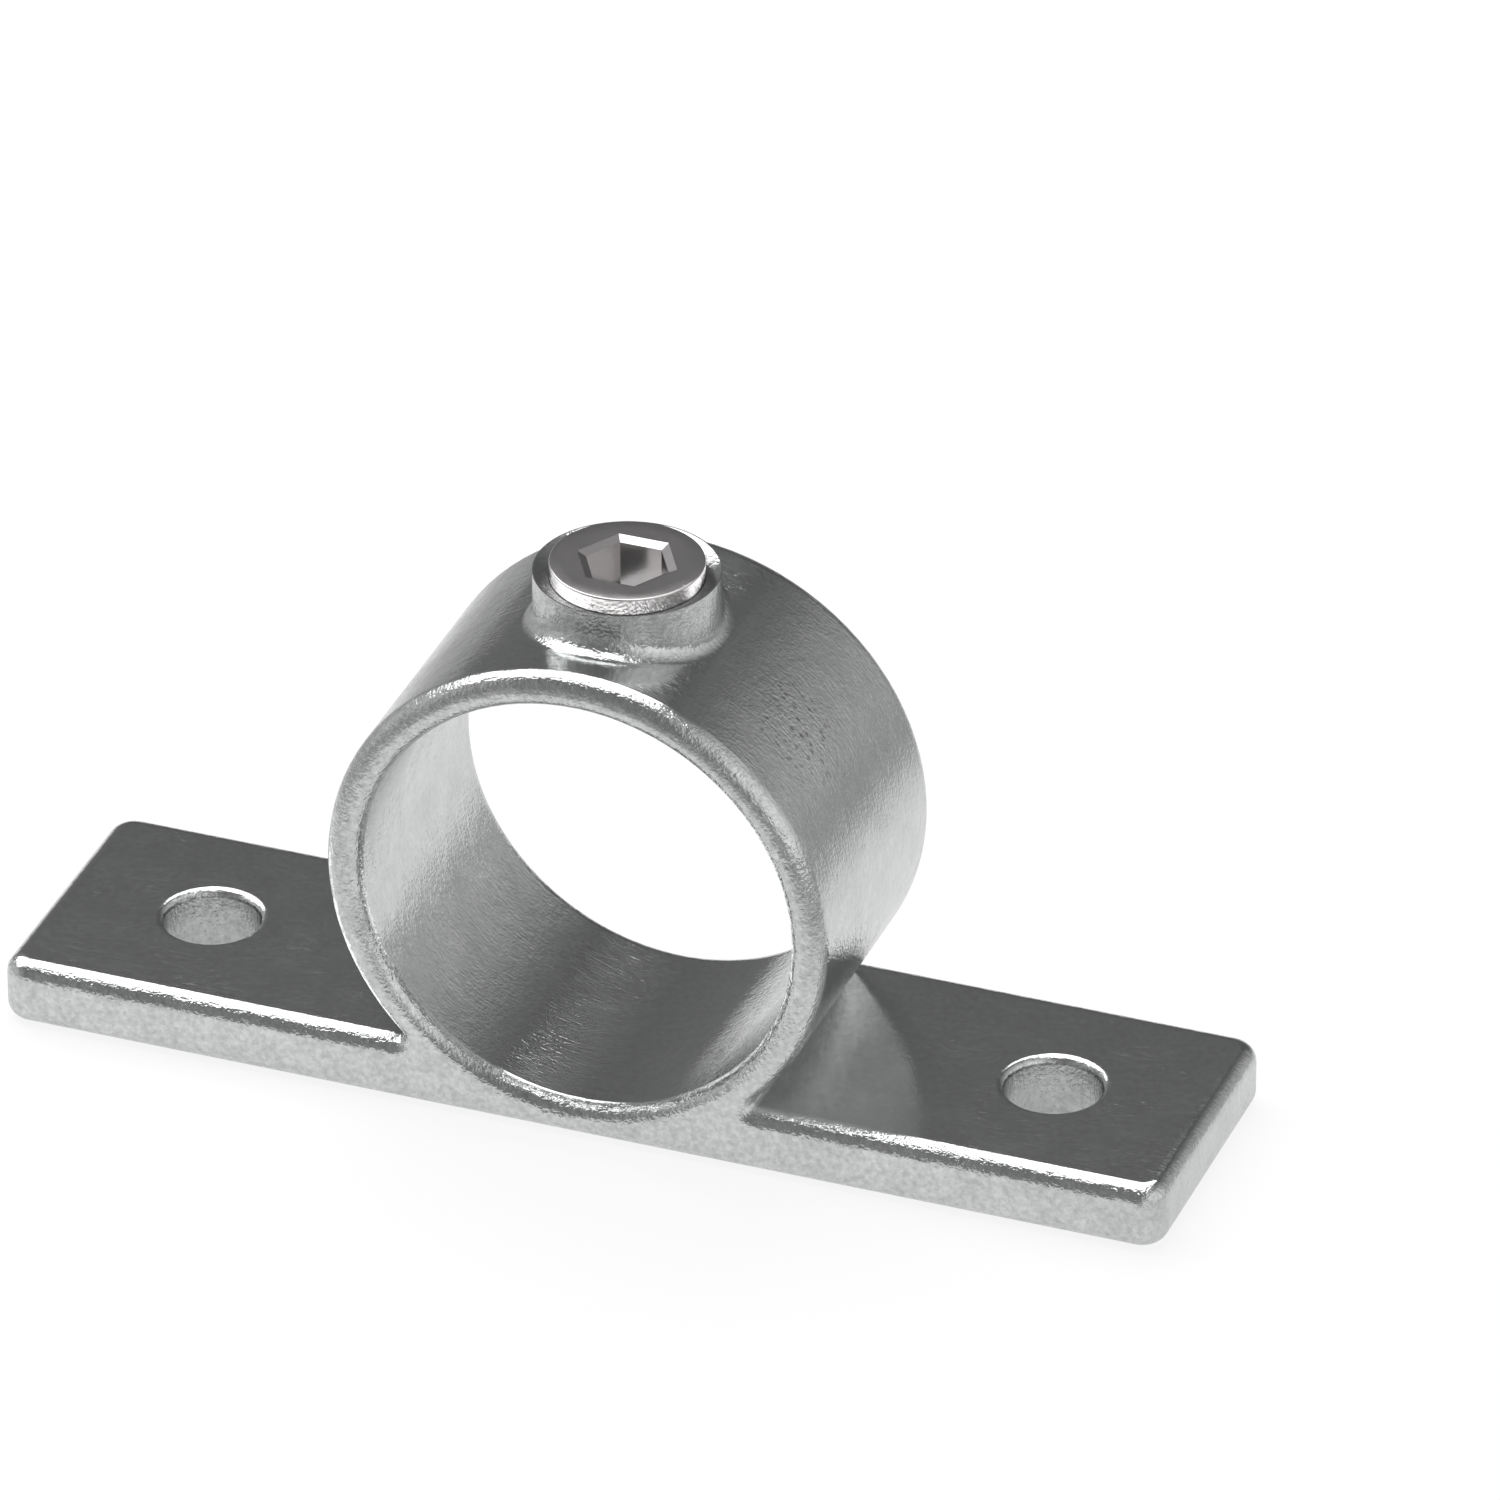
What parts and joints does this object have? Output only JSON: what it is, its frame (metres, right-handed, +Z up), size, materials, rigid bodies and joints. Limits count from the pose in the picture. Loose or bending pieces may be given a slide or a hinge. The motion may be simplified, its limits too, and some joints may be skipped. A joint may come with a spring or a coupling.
{
  "type": "tube clamp base flange",
  "caption": "Cast base fitting for round tube: a socket ring on a flat plate with two fixing holes, and a hollow set screw in a boss on top that clamps the tube.",
  "frame": {"origin": "centre of the plate's underside, between the two fixing holes and under the middle of the socket", "axes": "+Z up out of the set screw, X along the plate through the two fixing holes, Y along the tube"},
  "size_m": [0.133, 0.034, 0.0623],
  "materials": {
    "galvanised_iron": "hot-dip galvanised, rough cast",
    "plated_steel": "zinc plated, turned"
  },
  "bodies": {
    "fitting": {"cast_body": "galvanised_iron"},
    "screw": {"set_screw": "plated_steel"}
  },
  "joints": [
    {"name": "screw_travel", "type": "slide", "parent": "fitting", "child": "screw", "axis": [0, 0, 1], "range_m": [-0.00134, 0.00401]}
  ]
}
